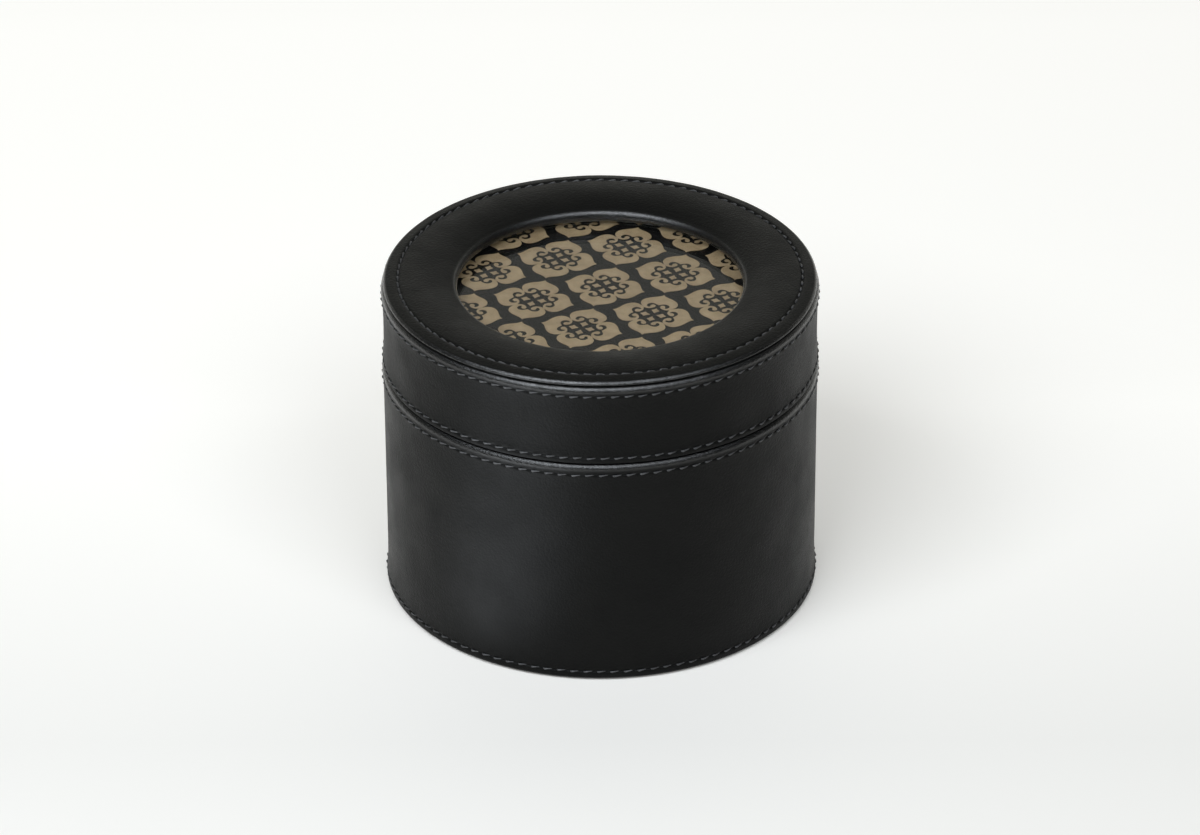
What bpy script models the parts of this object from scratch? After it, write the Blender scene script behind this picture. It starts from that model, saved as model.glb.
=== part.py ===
"""Round padded jewelry box: a lift-off lid with a glazed top panel, over a deep base with a ring tray."""

import math

import bmesh
import bpy

MM = 0.001

# Overall sizes. Radii are measured from the box's upright centre line.
OUTER_R = 80.0 * MM          # over the rolled hems
BASE_H = 90.15 * MM          # floor to the rim of the base
LID_SIDE_H = 31.15 * MM      # leather band of the lid, without the padded ring
CLEAR = 0.3 * MM             # seat gap between touching pieces
LID_RUN = 0.6 * MM           # running gap between the lid's wall and the neck
TRAY_RUN = 0.6 * MM          # running gap between the tray and the neck

# Sheet and board thicknesses
COVER_T = 0.85 * MM          # leather over thin foam on the side walls
WALL_T = 2.1 * MM            # rolled board of the outer walls
NECK_T = 2.3 * MM            # covered board of the neck
REST_T = 2.3 * MM            # covered board that carries the tray
BOARD_T = 2.4 * MM           # flat round boards
TRAY_WALL_T = 1.9 * MM
TRAY_FLOOR_T = 2.4 * MM
PARTITION_T = 2.0 * MM
DIVIDER_T = 2.4 * MM
FOOT_T = 1.5 * MM

# Stitched hems of the side bands
HEM_PROUD = 0.85 * MM        # how far a hem stands out from the band
HEM_ROLL_R = 1.3 * MM        # rolled edge of a hem
HEM_BLEND = 1.8 * MM         # height over which a hem falls back to the band
HEM_GROOVE = 0.3 * MM        # depth of the sewn groove along the foot of a hem
SEAM_UP = 0.6 * MM           # sewn groove above the foot of a hem
BASE_TOP_HEM = 5.4 * MM      # edge to the foot of each hem
BASE_BOTTOM_HEM = 3.8 * MM
LID_TOP_HEM = 5.7 * MM
LID_BOTTOM_HEM = 3.0 * MM
FLARE_PROUD = 0.5 * MM       # bottom hem of the base
UNDER_LIFT = 0.6 * MM        # bottom hem above the table
BASE_TURN_IN = 3.0 * MM      # leather turned under the floor board

# Neck and tray rest
NECK_RISE = 9.35 * MM        # neck above the rim
EDGE_ROUNDING = 0.35         # rounding of a covered board's top edge, as a share of its thickness
REST_TOP = 56.0 * MM         # height of the ledge that carries the tray
PAD_T = 6.0 * MM             # padded floor
PAD_EDGE_R = 2.5 * MM
PAD_CROWN = 0.5 * MM
PAD_EDGE_FROM = 60.0         # degrees round the pad's edge where its crown runs into it
DIVIDER_H = 30.0 * MM
DIVIDER_END_GAP = 0.5 * MM

# Tray
TRAY_WALL_H = 33.0 * MM
PARTITION_H = 27.0 * MM
SIDE_PARTITION_H = 22.0 * MM
SIDE_PARTITION_Y = 23.2 * MM  # centre line of each side partition from the middle
ROLL_COUNT = 6
ROLL_SHORTEST = 36.0 * MM    # chord that the tray leaves for the outermost roll
ROLL_GAP = 0.5 * MM          # slit between two rolls, where a ring is held
ROLL_H = 23.0 * MM
ROLL_END_GAP = 0.8 * MM
ROLL_ARC_STEPS = 12
ROLL_FOOT = 0.43             # half width of a roll's foot, as a share of its width
ROLL_SHOULDER = 0.45         # height where a roll's round top starts, as a share of its height
ROLL_ENDS = ((0.0, 0.80), (0.12, 0.93), (0.45, 1.0))  # widths in from an end, and the scale there
TAB_W = 12.0 * MM            # ribbon tab over the middle partition
TAB_T = 0.6 * MM
TAB_LEG = 14.0 * MM          # glued length on each face of the partition
TAB_RISE = 10.0 * MM         # standing above the partition
TAB_SPREAD = 3.0 * MM        # height over which the two layers part
TAB_HALF_GAP = 1.7 * MM      # half the width of the standing loop

# Glazed recess of the lid
RECESS_D = 5.6 * MM          # glass below the top of the side band
GLASS_T = 2.0 * MM
PANEL_T = 1.0 * MM
GLASS_LAP = 3.5 * MM         # glass held under the rolled inner edge
RING_BOARD_T = 1.6 * MM
MIRROR_T = 2.0 * MM
CEILING_W = 13.6 * MM        # lined margin round the mirror
LINING_T = 2.0 * MM          # lining ring inside the lid's wall

# Padded ring
RING_LEATHER_T = 1.2 * MM
RING_INSET = 0.8 * MM        # ring's edge inside the hems
RING_W = 27.1 * MM           # ring's edge to the clear opening over the glass
MARGIN_T = 1.3 * MM          # stitched double layer at the ring's edge
MARGIN_W = 3.6 * MM          # flat margin outside the sewn channel
CHANNEL_HALF_W = 1.2 * MM
CHANNEL_D = 0.45 * MM
CROWN_H = 3.6 * MM           # padding above the straight line between channel and inner roll
CROWN_FULLNESS = 0.8         # lower is fuller near the channel and the roll
BULLNOSE_R = 2.9 * MM        # rolled inner edge of the ring
BULLNOSE_FROM = 80.0         # degrees round the roll where the crown runs into it
BULLNOSE_TO = 300.0          # degrees round the roll where the leather ends on the glass
UPPER_STEPS = (12, 10)       # facets over the crown and round the roll, outer face of the leather
UNDER_STEPS = (8, 8)         # the same for the inner face and for the foam

TURN_STEPS = 48              # facets round the box

# Radii that follow from the sizes above, outside to inside
WAIST_R = OUTER_R - HEM_PROUD
WALL_OUT_R = WAIST_R - COVER_T - CLEAR
LID_WALL_IN_R = WALL_OUT_R - WALL_T
NECK_OUT_R = LID_WALL_IN_R - LID_RUN
NECK_IN_R = NECK_OUT_R - NECK_T
BASE_WALL_IN_R = NECK_OUT_R + CLEAR
REST_OUT_R = NECK_IN_R - CLEAR
REST_IN_R = REST_OUT_R - REST_T
TRAY_OUT_R = NECK_IN_R - TRAY_RUN
TRAY_IN_R = TRAY_OUT_R - TRAY_WALL_T
LID_FILL_R = LID_WALL_IN_R - CLEAR
MIRROR_R = LID_FILL_R - CEILING_W
RING_EDGE_R = OUTER_R - RING_INSET
CHANNEL_R = RING_EDGE_R - MARGIN_W - CHANNEL_HALF_W
OPENING_R = RING_EDGE_R - RING_W
BULLNOSE_C_R = OPENING_R + BULLNOSE_R
GLASS_R = BULLNOSE_C_R + GLASS_LAP

# Heights that follow from the sizes above, bottom to top
FLOOR_Z = FOOT_T + CLEAR
FLOOR_TOP = FLOOR_Z + BOARD_T
STAND_Z = FLOOR_TOP + CLEAR
NECK_TOP = BASE_H + NECK_RISE
PAD_TOP = STAND_Z + PAD_T
TRAY_Z = REST_TOP + CLEAR
TRAY_IN_Z = TRAY_Z + TRAY_FLOOR_T + CLEAR
LID_Z = BASE_H + CLEAR
LID_SIDE_TOP = LID_Z + LID_SIDE_H
GLASS_TOP = LID_SIDE_TOP - RECESS_D
GLASS_Z = GLASS_TOP - GLASS_T
PANEL_Z = GLASS_Z - CLEAR - PANEL_T
TOP_BOARD_Z = PANEL_Z - CLEAR - BOARD_T
CEILING_Z = TOP_BOARD_Z - CLEAR - MIRROR_T
RING_BOARD_Z = GLASS_TOP + CLEAR
FOAM_Z = RING_BOARD_Z + RING_BOARD_T + CLEAR
MARGIN_Z = LID_SIDE_TOP + CLEAR
MARGIN_TOP = MARGIN_Z + MARGIN_T
BULLNOSE_Z = GLASS_TOP + CLEAR + BULLNOSE_R

LEATHER = ("black_leather", (0.016, 0.016, 0.015), 0.38)
BOARD = ("greyboard", (0.36, 0.34, 0.30), 0.90)
SUEDE = ("suede_lining", (0.055, 0.050, 0.046), 0.95)
VELVET = ("velvet_pad", (0.040, 0.037, 0.034), 0.95)
FELT = ("black_felt", (0.020, 0.020, 0.020), 1.0)
FOAM = ("foam_pad", (0.50, 0.48, 0.42), 0.95)
GLASS = ("clear_glass", (0.80, 0.86, 0.84), 0.05)
MIRROR = ("silvered_mirror", (0.86, 0.87, 0.87), 0.03)
PANEL = ("ornament_panel", (0.20, 0.17, 0.12), 0.60)
RIBBON = ("satin_ribbon", (0.030, 0.028, 0.026), 0.45)


def clear_scene():
    """Remove every object that the file opened with."""
    for item in list(bpy.data.objects):
        bpy.data.objects.remove(item, do_unlink=True)


def surface(finish):
    """Return the Principled material of a finish, made once."""
    name, colour, roughness = finish
    material = bpy.data.materials.get(name)
    if material is None:
        material = bpy.data.materials.new(name)
        material.use_nodes = True
        shader = material.node_tree.nodes["Principled BSDF"]
        shader.inputs["Base Color"].default_value = (*colour, 1.0)
        shader.inputs["Roughness"].default_value = roughness
        shader.inputs["Metallic"].default_value = 1.0 if finish is MIRROR else 0.0
        shader.inputs["Transmission Weight"].default_value = 0.9 if finish is GLASS else 0.0
    return material


def add_object(name, mesh, finish, collection, parent, location):
    """Put a mesh into the scene as one named sub-part."""
    item = bpy.data.objects.new(name, mesh)
    collection.objects.link(item)
    item.data.materials.append(surface(finish))
    item.parent = parent
    item.location = location
    return item


def turned(name, section, finish, collection, parent, height):
    """Turn a half section, given as (radius, height) points, into a full round body.

    A section that starts and ends on the centre line makes a disc; any other is closed into a ring.
    Points run down the outer side, so that the faces point outwards.
    """
    shape = bmesh.new()
    verts = [shape.verts.new((radius, 0.0, z)) for radius, z in section]
    for first, second in zip(verts, verts[1:]):
        shape.edges.new((first, second))
    if section[0][0] > CLEAR:
        shape.edges.new((verts[-1], verts[0]))
    mesh = bpy.data.meshes.new(name)
    shape.to_mesh(mesh)
    shape.free()
    item = add_object(name, mesh, finish, collection, parent, (0.0, 0.0, height))
    screw = item.modifiers.new("turn", "SCREW")
    screw.axis = "Z"
    screw.angle = 2.0 * math.pi
    screw.screw_offset = 0.0
    screw.steps = TURN_STEPS
    screw.render_steps = TURN_STEPS
    screw.use_merge_vertices = True
    screw.merge_threshold = 0.00001
    screw.use_smooth_shade = True
    return item


def disc_section(radius, thickness, chamfer=0.0):
    """Half section of a flat disc that stands on height 0."""
    if chamfer <= 0.0:
        return [(0.0, thickness), (radius, thickness), (radius, 0.0), (0.0, 0.0)]
    return [
        (0.0, thickness),
        (radius - chamfer, thickness),
        (radius, thickness - chamfer),
        (radius, 0.0),
        (0.0, 0.0),
    ]


def tube_section(outer, inner, height, rounding=0.0):
    """Half section of an upright tube, with its top edge rounded if asked."""
    if rounding <= 0.0:
        return [(outer, height), (outer, 0.0), (inner, 0.0), (inner, height)]
    return [
        (outer - rounding, height),
        (outer - 0.3 * rounding, height - 0.3 * rounding),
        (outer, height - rounding),
        (outer, 0.0),
        (inner, 0.0),
        (inner, height - rounding),
        (inner + 0.3 * rounding, height - 0.3 * rounding),
        (inner + rounding, height),
    ]


def arc(centre_r, centre_z, radius, start, end, count):
    """Points on an arc of a half section, angles in degrees from the outward direction."""
    points = []
    for step in range(count + 1):
        angle = math.radians(start + (end - start) * step / count)
        points.append((centre_r + radius * math.cos(angle), centre_z + radius * math.sin(angle)))
    return points


def band_section(height, wall_under, wall_over, top_hem, bottom_hem, bottom_proud, turn_in_r):
    """Half section of a side band: leather over a wall, with proud hems rolled over both edges.

    Each hem is a flat-sided roll that falls in to a sewn groove just before its foot.
    wall_under and wall_over are the heights of the wall's two edges, which the leather wraps.
    """
    top_r = WAIST_R + HEM_PROUD
    bottom_r = WAIST_R + bottom_proud
    bottom_roll = min(HEM_ROLL_R, bottom_hem / 2.0)
    section = arc(top_r - HEM_ROLL_R, height - HEM_ROLL_R, HEM_ROLL_R, 90.0, 0.0, 4)
    section += [
        (top_r, height - 0.5 * top_hem),
        (top_r - HEM_GROOVE, height - top_hem + SEAM_UP),
        (top_r - 0.8 * HEM_GROOVE, height - top_hem),
        (WAIST_R + 0.3 * HEM_PROUD, height - top_hem - 0.5 * HEM_BLEND),
        (WAIST_R, height - top_hem - HEM_BLEND),
        (WAIST_R, bottom_hem + HEM_BLEND),
        (WAIST_R + 0.3 * bottom_proud, bottom_hem + 0.5 * HEM_BLEND),
        (bottom_r - 0.8 * HEM_GROOVE, bottom_hem),
        (bottom_r - HEM_GROOVE, bottom_hem - SEAM_UP),
    ]
    section += arc(bottom_r - bottom_roll, bottom_roll, bottom_roll, 0.0, -90.0, 4)
    section += [
        (turn_in_r[0], 0.0),
        (turn_in_r[0], wall_under - CLEAR),
        (WALL_OUT_R + CLEAR, wall_under - CLEAR),
        (WALL_OUT_R + CLEAR, wall_over + CLEAR),
        (turn_in_r[1], wall_over + CLEAR),
        (turn_in_r[1], height),
    ]
    return section


def ring_outline(crown_steps, roll_steps):
    """Upper surface of the padded ring from the sewn channel to under the rolled inner edge."""
    roll = arc(BULLNOSE_C_R, BULLNOSE_Z, BULLNOSE_R, BULLNOSE_FROM, BULLNOSE_TO, roll_steps)
    start_r = CHANNEL_R
    start_z = MARGIN_TOP - CHANNEL_D
    end_r, end_z = roll[0]
    points = []
    for step in range(crown_steps):
        share = step / crown_steps
        rise = CROWN_H * math.sin(math.pi * share) ** CROWN_FULLNESS
        points.append((start_r + (end_r - start_r) * share, start_z + (end_z - start_z) * share + rise))
    return points + roll


def inset_outline(points, depth):
    """Move an outline to its inner side by a depth, square to the outline at each point."""
    moved = []
    for index, (radius, z) in enumerate(points):
        before = points[max(index - 1, 0)]
        after = points[min(index + 1, len(points) - 1)]
        along_r = after[0] - before[0]
        along_z = after[1] - before[1]
        length = math.hypot(along_r, along_z)
        moved.append((radius - along_z / length * depth, z + along_r / length * depth))
    return moved


def ring_cover_section():
    """Half section of the ring's leather: stitched margin, channel, crown and rolled inner edge."""
    edge_roll = MARGIN_T / 2.0
    under = inset_outline(ring_outline(*UNDER_STEPS), RING_LEATHER_T)
    section = list(reversed(ring_outline(*UPPER_STEPS)))
    section += [(CHANNEL_R + CHANNEL_HALF_W, MARGIN_TOP)]
    section += arc(RING_EDGE_R - edge_roll, MARGIN_Z + edge_roll, edge_roll, 90.0, -90.0, 4)
    section += [(CHANNEL_R + CHANNEL_HALF_W, MARGIN_Z)]
    section += under
    return section


def foam_section():
    """Half section of the foam under the ring's leather, flat where it lies on its board."""
    under_leather = inset_outline(ring_outline(*UNDER_STEPS), RING_LEATHER_T + CLEAR)
    above = [(radius, z) for radius, z in under_leather if z > BULLNOSE_Z]
    return [(BULLNOSE_C_R, FOAM_Z)] + list(reversed(above)) + [(above[0][0], FOAM_Z)]


def add_base(collection):
    """Base: foot, floor, wall, side band, neck, tray rest, padded floor and half-lapped dividers."""
    turned("base_foot_panel", disc_section(WALL_OUT_R - BASE_TURN_IN, FOOT_T), FELT, collection, None, 0.0)
    turned("base_floor_board", disc_section(WALL_OUT_R, BOARD_T), BOARD, collection, None, FLOOR_Z)
    wall_top = BASE_H - COVER_T - CLEAR
    wall = tube_section(WALL_OUT_R, BASE_WALL_IN_R, wall_top - STAND_Z)
    turned("base_wall_board", wall, BOARD, collection, None, STAND_Z)
    band = band_section(
        BASE_H - UNDER_LIFT,
        FLOOR_Z - UNDER_LIFT,
        wall_top - UNDER_LIFT,
        BASE_TOP_HEM,
        BASE_BOTTOM_HEM,
        FLARE_PROUD,
        (WALL_OUT_R - BASE_TURN_IN + CLEAR, BASE_WALL_IN_R),
    )
    turned("base_side_cover", band, LEATHER, collection, None, UNDER_LIFT)
    neck = tube_section(NECK_OUT_R, NECK_IN_R, NECK_TOP - STAND_Z, EDGE_ROUNDING * NECK_T)
    turned("neck_collar", neck, SUEDE, collection, None, STAND_Z)
    rest = tube_section(REST_OUT_R, REST_IN_R, REST_TOP - STAND_Z)
    turned("tray_rest_ring", rest, SUEDE, collection, None, STAND_Z)
    pad_r = REST_IN_R - CLEAR
    pad = [(0.0, PAD_T), (0.6 * pad_r, PAD_T - 0.3 * PAD_CROWN), (pad_r - PAD_EDGE_R, PAD_T - PAD_CROWN)]
    pad += arc(pad_r - PAD_EDGE_R, PAD_T - PAD_CROWN - PAD_EDGE_R, PAD_EDGE_R, PAD_EDGE_FROM, 0.0, 2)
    pad += [(pad_r, 0.0), (0.0, 0.0)]
    turned("base_floor_pad", pad, VELVET, collection, None, STAND_Z)


def box_mesh(name, size):
    """Box centred on X and Y that stands on height 0."""
    shape = bmesh.new()
    bmesh.ops.create_cube(shape, size=1.0)
    for vert in shape.verts:
        vert.co.x *= size[0]
        vert.co.y *= size[1]
        vert.co.z = (vert.co.z + 0.5) * size[2]
    mesh = bpy.data.meshes.new(name)
    shape.to_mesh(mesh)
    shape.free()
    return mesh


def add_dividers(collection, cutters):
    """Two boards that cross by half laps and stand on the padded floor."""
    length = 2.0 * (REST_IN_R * math.cos(math.pi / TURN_STEPS) - DIVIDER_END_GAP)
    height = PAD_TOP + CLEAR
    slot_w = DIVIDER_T + 2.0 * CLEAR
    slot_h = DIVIDER_H / 2.0 + CLEAR
    layout = (("base_divider_long", 0.0, DIVIDER_H - slot_h), ("base_divider_cross", 90.0, -slot_h))
    for name, turn, slot_z in layout:
        board = add_object(
            name,
            box_mesh(name, (length, DIVIDER_T, DIVIDER_H)),
            SUEDE,
            collection,
            None,
            (0.0, 0.0, height),
        )
        board.rotation_euler = (0.0, 0.0, math.radians(turn))
        cutter = bpy.data.objects.new(name + "_slot", box_mesh(name + "_slot", (slot_w, slot_w, 2.0 * slot_h)))
        cutters.objects.link(cutter)
        cutter.location = (0.0, 0.0, height + slot_z)
        cutter.hide_render = True
        cutter.display_type = "WIRE"
        cut = board.modifiers.new("half_lap", "BOOLEAN")
        cut.operation = "DIFFERENCE"
        cut.object = cutter


def chord_half_length(offset, gap):
    """Half the length of a piece that spans the tray at an offset from its middle."""
    inner = TRAY_IN_R * math.cos(math.pi / TURN_STEPS) - gap
    return math.sqrt(inner ** 2 - offset ** 2)


def add_tray_shell(collection, slide):
    """Lift-out tray: floor board, round wall and the three partitions."""
    floor = disc_section(TRAY_OUT_R, TRAY_FLOOR_T)
    turned("tray_floor", floor, SUEDE, collection, slide, 0.0)
    stand = TRAY_IN_Z - TRAY_Z
    wall = tube_section(TRAY_OUT_R, TRAY_IN_R, TRAY_WALL_H, EDGE_ROUNDING * TRAY_WALL_T)
    turned("tray_wall", wall, SUEDE, collection, slide, stand)
    half = chord_half_length(PARTITION_T / 2.0, CLEAR)
    main = box_mesh("tray_partition_main", (PARTITION_T, 2.0 * half, PARTITION_H))
    add_object("tray_partition_main", main, SUEDE, collection, slide, (0.0, 0.0, stand))
    near = PARTITION_T / 2.0 + CLEAR
    far = chord_half_length(SIDE_PARTITION_Y + PARTITION_T / 2.0, CLEAR)
    for side, sign in (("front", -1.0), ("back", 1.0)):
        name = "tray_partition_" + side
        mesh = box_mesh(name, (far - near, PARTITION_T, SIDE_PARTITION_H))
        place = (0.5 * (far + near), sign * SIDE_PARTITION_Y, stand)
        add_object(name, mesh, SUEDE, collection, slide, place)


def roll_section(width, height):
    """Closed outline of a padded roll: flat underside, sides drawn in at the foot, full round top."""
    foot = ROLL_FOOT * width
    shoulder = ROLL_SHOULDER * height
    outline = [(-foot, 0.0), (foot, 0.0)]
    for step in range(ROLL_ARC_STEPS + 1):
        angle = math.pi * step / ROLL_ARC_STEPS
        across = 0.5 * width * math.cos(angle)
        outline.append((across, shoulder + (height - shoulder) * math.sin(angle)))
    return outline


def roll_mesh(name, width, length, height):
    """Skin a padded roll along Y over its outline, smaller at both soft ends."""
    stations = [(inward * width - 0.5 * length, scale) for inward, scale in ROLL_ENDS]
    stations += [(-place, scale) for place, scale in reversed(stations)]
    shape = bmesh.new()
    loops = []
    for place, scale in stations:
        verts = [shape.verts.new((x * scale, place, z * scale)) for x, z in roll_section(width, height)]
        loops.append([shape.edges.new(pair) for pair in zip(verts, verts[1:] + verts[:1])])
    for first, second in zip(loops, loops[1:]):
        bmesh.ops.bridge_loops(shape, edges=first + second)
    bmesh.ops.contextual_create(shape, geom=loops[0])
    bmesh.ops.contextual_create(shape, geom=loops[-1])
    bmesh.ops.recalc_face_normals(shape, faces=shape.faces[:])
    mesh = bpy.data.meshes.new(name)
    shape.to_mesh(mesh)
    shape.free()
    return mesh


def add_ring_rolls(collection, slide):
    """Padded rolls side by side that fill the left of the tray, each as long as the tray allows."""
    start = PARTITION_T / 2.0 + CLEAR + TAB_T + CLEAR
    reach = chord_half_length(ROLL_SHORTEST / 2.0, ROLL_END_GAP)
    pitch = (reach - start + ROLL_GAP) / ROLL_COUNT
    width = pitch - ROLL_GAP
    for index in range(ROLL_COUNT):
        near = start + index * pitch
        half = chord_half_length(near + width, ROLL_END_GAP)
        name = "ring_roll_" + str(index + 1)
        mesh = roll_mesh(name, width, 2.0 * half, ROLL_H)
        place = (-(near + width / 2.0), 0.0, TRAY_IN_Z - TRAY_Z)
        add_object(name, mesh, VELVET, collection, slide, place)


def add_lift_tab(collection, slide):
    """Ribbon folded over the middle partition, glued to both faces, standing up as a pinch tab."""
    inner = PARTITION_T / 2.0 + CLEAR + TAB_T / 2.0
    top = TRAY_IN_Z - TRAY_Z + PARTITION_H
    loop_c = top + TAB_RISE - TAB_HALF_GAP
    path = [(inner, top - TAB_LEG), (inner, top + TAB_SPREAD)]
    path += arc(0.0, loop_c, TAB_HALF_GAP, 0.0, 180.0, 6)
    path += [(-inner, top + TAB_SPREAD), (-inner, top - TAB_LEG)]
    shape = bmesh.new()
    verts = [shape.verts.new((x, -TAB_W / 2.0, z)) for x, z in path]
    edges = [shape.edges.new(pair) for pair in zip(verts, verts[1:])]
    grown = bmesh.ops.extrude_edge_only(shape, edges=edges)
    for item in grown["geom"]:
        if isinstance(item, bmesh.types.BMVert):
            item.co.y = TAB_W / 2.0
    mesh = bpy.data.meshes.new("tray_lift_tab")
    shape.to_mesh(mesh)
    shape.free()
    tab = add_object("tray_lift_tab", mesh, RIBBON, collection, slide, (0.0, 0.0, 0.0))
    ribbon = tab.modifiers.new("thickness", "SOLIDIFY")
    ribbon.thickness = TAB_T
    ribbon.offset = 0.0


def add_lid_shell(collection, slide):
    """Lid walls: board, stitched side band, top board, mirror and linings."""
    wall_z = LID_Z + COVER_T + CLEAR
    wall_top = LID_SIDE_TOP - COVER_T - CLEAR
    wall = tube_section(WALL_OUT_R, LID_WALL_IN_R, wall_top - wall_z)
    turned("lid_wall_board", wall, BOARD, collection, slide, wall_z - LID_Z)
    band = band_section(
        LID_SIDE_H,
        wall_z - LID_Z,
        wall_top - LID_Z,
        LID_TOP_HEM,
        LID_BOTTOM_HEM,
        HEM_PROUD,
        (LID_WALL_IN_R, LID_WALL_IN_R),
    )
    turned("lid_side_cover", band, LEATHER, collection, slide, 0.0)
    board = disc_section(LID_FILL_R, BOARD_T)
    turned("lid_top_board", board, BOARD, collection, slide, TOP_BOARD_Z - LID_Z)
    mirror = disc_section(MIRROR_R, MIRROR_T)
    turned("lid_mirror", mirror, MIRROR, collection, slide, CEILING_Z - LID_Z)
    ceiling = tube_section(LID_FILL_R, MIRROR_R + CLEAR, MIRROR_T)
    turned("lid_ceiling_lining", ceiling, SUEDE, collection, slide, CEILING_Z - LID_Z)
    lining_z = NECK_TOP + LID_RUN
    lining = tube_section(LID_FILL_R, LID_FILL_R - LINING_T, CEILING_Z - CLEAR - lining_z)
    turned("lid_wall_lining", lining, SUEDE, collection, slide, lining_z - LID_Z)


def add_lid_top(collection, slide):
    """Glazed ornament in the middle of the lid, held down by the padded leather ring."""
    panel = disc_section(GLASS_R, PANEL_T)
    turned("ornament_panel", panel, PANEL, collection, slide, PANEL_Z - LID_Z)
    glass = disc_section(GLASS_R, GLASS_T)
    turned("lid_glass", glass, GLASS, collection, slide, GLASS_Z - LID_Z)
    spacer = tube_section(LID_FILL_R, GLASS_R + CLEAR, GLASS_TOP - PANEL_Z)
    turned("glass_spacer_ring", spacer, BOARD, collection, slide, PANEL_Z - LID_Z)
    board_in_r = BULLNOSE_C_R + BULLNOSE_R + CLEAR
    board = tube_section(LID_FILL_R, board_in_r, RING_BOARD_T)
    turned("ring_board", board, BOARD, collection, slide, RING_BOARD_Z - LID_Z)
    turned("ring_foam_pad", foam_section(), FOAM, collection, slide, -LID_Z)
    turned("ring_cover", ring_cover_section(), LEATHER, collection, slide, -LID_Z)


def shade_round_pieces(collection):
    """Smooth the flat-faced skinned pieces; turned pieces are smoothed by their own modifier."""
    for item in collection.objects:
        if item.type == "MESH" and item.name.startswith("ring_roll"):
            item.data.shade_smooth()
            item.data.set_sharp_from_angle(angle=math.radians(40.0))


def build():
    """Build the whole box, closed, standing on height 0 with its front towards -Y."""
    clear_scene()
    parts = bpy.data.collections.new("round_jewelry_box")
    cutters = bpy.data.collections.new("cutters")
    bpy.context.scene.collection.children.link(parts)
    bpy.context.scene.collection.children.link(cutters)
    slides = {}
    for name, height in (("tray_slide", TRAY_Z), ("lid_slide", LID_Z)):
        slides[name] = bpy.data.objects.new(name, None)
        parts.objects.link(slides[name])
        slides[name].location = (0.0, 0.0, height)
    add_base(parts)
    add_dividers(parts, cutters)
    add_tray_shell(parts, slides["tray_slide"])
    add_ring_rolls(parts, slides["tray_slide"])
    add_lift_tab(parts, slides["tray_slide"])
    add_lid_shell(parts, slides["lid_slide"])
    add_lid_top(parts, slides["lid_slide"])
    shade_round_pieces(parts)


build()
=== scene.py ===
"""Round jewelry box: black leather over board, a padded ring round a glazed ornament, a ring tray inside."""

import math
import random

import bmesh
import bpy
from mathutils import Matrix, Vector, noise


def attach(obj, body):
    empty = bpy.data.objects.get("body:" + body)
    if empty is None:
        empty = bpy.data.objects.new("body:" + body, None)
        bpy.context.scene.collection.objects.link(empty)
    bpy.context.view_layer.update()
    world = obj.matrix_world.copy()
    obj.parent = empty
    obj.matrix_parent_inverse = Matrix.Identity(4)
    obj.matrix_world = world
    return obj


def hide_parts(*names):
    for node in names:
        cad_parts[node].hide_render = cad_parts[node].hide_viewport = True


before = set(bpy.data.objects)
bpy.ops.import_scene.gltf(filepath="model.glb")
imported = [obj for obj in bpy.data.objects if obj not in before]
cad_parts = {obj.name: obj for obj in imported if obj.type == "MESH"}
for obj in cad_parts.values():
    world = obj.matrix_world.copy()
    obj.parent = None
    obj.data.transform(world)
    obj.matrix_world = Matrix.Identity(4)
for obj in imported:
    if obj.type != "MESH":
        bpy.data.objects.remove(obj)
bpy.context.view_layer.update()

# Foot panel: a disc of pressed black felt glued under the floor board, the face that the box stands on.
# It is cut smaller than the leather turned under the base, and its rim is soft from the cutting.
MM = 0.001
FULL_TURN = 2.0 * math.pi
ORIGIN = (0.0, 0.0, 0.0)
UP = Vector((0.0, 0.0, 1.0))
MERGE = 0.001
FIBRES = 2600.0
FOOT_R = 74.9
FOOT_T = 1.5
FOOT_ROUND = 0.3


def arc(centre_r, centre_z, radius, start, end, count):
    """Points of a rounded corner in a half section, angles in degrees from the outward direction."""
    angles = [math.radians(start + (end - start) * step / count) for step in range(count + 1)]
    return [(centre_r + radius * math.cos(angle), centre_z + radius * math.sin(angle)) for angle in angles]


def whole(shape):
    """All points, edges and faces of a shape."""
    return shape.verts[:] + shape.edges[:] + shape.faces[:]


def face_out(shape):
    """Turn all faces of a closed shape outwards."""
    bmesh.ops.recalc_face_normals(shape, faces=shape.faces[:])


def spin(shape, geom, angle, steps, copies):
    """Sweep a line round the box's centre line, or set copies of a shape round it."""
    way = {"cent": ORIGIN, "axis": UP, "angle": angle, "steps": steps}
    bmesh.ops.spin(shape, geom=geom, use_merge=False, use_duplicate=copies, **way)


def repeat_round(shape, angle, count):
    """Repeat a whole shape round the centre line, one angle apart."""
    spin(shape, whole(shape), angle * (count - 1), count - 1, True)


def turn(section, rounds=(8, 4, 6)):
    """Turn a half section, in millimetres, round the centre line; a wedge of it is repeated twice over."""
    wedge_steps, inner_count, outer_count = rounds
    wedge = FULL_TURN / (inner_count * outer_count)
    shape = bmesh.new()
    verts = [shape.verts.new((radius * MM, 0.0, height * MM)) for radius, height in section]
    edges = [shape.edges.new(pair) for pair in zip(verts, verts[1:])]
    if section[0][0] > 0.0:
        edges.append(shape.edges.new((verts[-1], verts[0])))
    spin(shape, verts + edges, wedge, wedge_steps, False)
    repeat_round(shape, wedge, inner_count)
    repeat_round(shape, wedge * inner_count, outer_count)
    bmesh.ops.remove_doubles(shape, verts=shape.verts[:], dist=MERGE * MM)
    face_out(shape)
    return shape


def place_object(name, data):
    """Put an object made of a mesh, a lamp or a camera into the scene."""
    thing = bpy.data.objects.new(name, data)
    bpy.context.scene.collection.objects.link(thing)
    return thing


def place_shape(name, shape, finish):
    """Make an object of a worked shape and give it its finish."""
    mesh = bpy.data.meshes.new(name)
    shape.to_mesh(mesh)
    shape.free()
    mesh.materials.append(finish)
    return place_object(name, mesh)


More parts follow.
